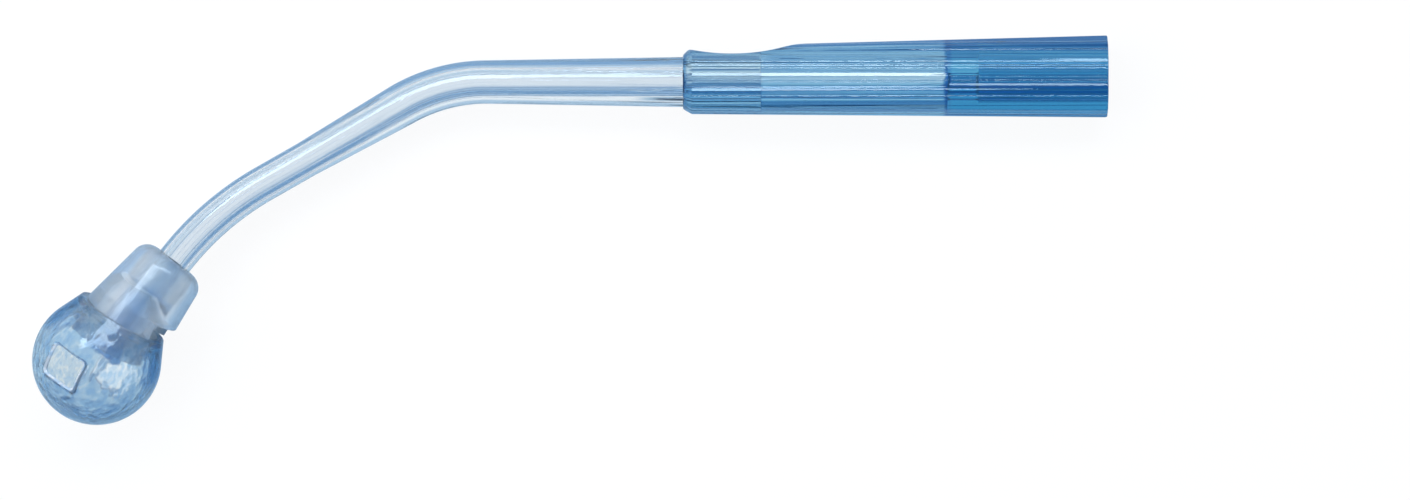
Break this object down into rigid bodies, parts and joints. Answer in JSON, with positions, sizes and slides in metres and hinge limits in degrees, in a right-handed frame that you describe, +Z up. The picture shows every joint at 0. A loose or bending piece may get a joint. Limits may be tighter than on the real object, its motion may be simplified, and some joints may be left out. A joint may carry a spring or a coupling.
{
  "type": "yankauer suction tip",
  "caption": "Clear blue suction tip: bent thick-walled tube with a hollow slotted ball at its end and a faceted handle with a thumb rest.",
  "frame": {"origin": "middle of the base of the bounding box, as the tip lies on a table", "axes": "+X along the hose bore and out of its mouth, +Z up from the table, ball towards -X and -Y"},
  "size_m": [0.1934, 0.07, 0.0232],
  "materials": {
    "clear_tube": "clear moulded plastic, glossy, faint blue",
    "clear_tip": "clear moulded plastic, glossy, light blue",
    "blue_handle": "clear moulded plastic, glossy, deeper blue"
  },
  "bodies": {
    "root": {"suction_tube": "clear_tube", "handle": "blue_handle", "tip_sleeve": "clear_tip", "tip_ball": "clear_tip"}
  },
  "joints": []
}
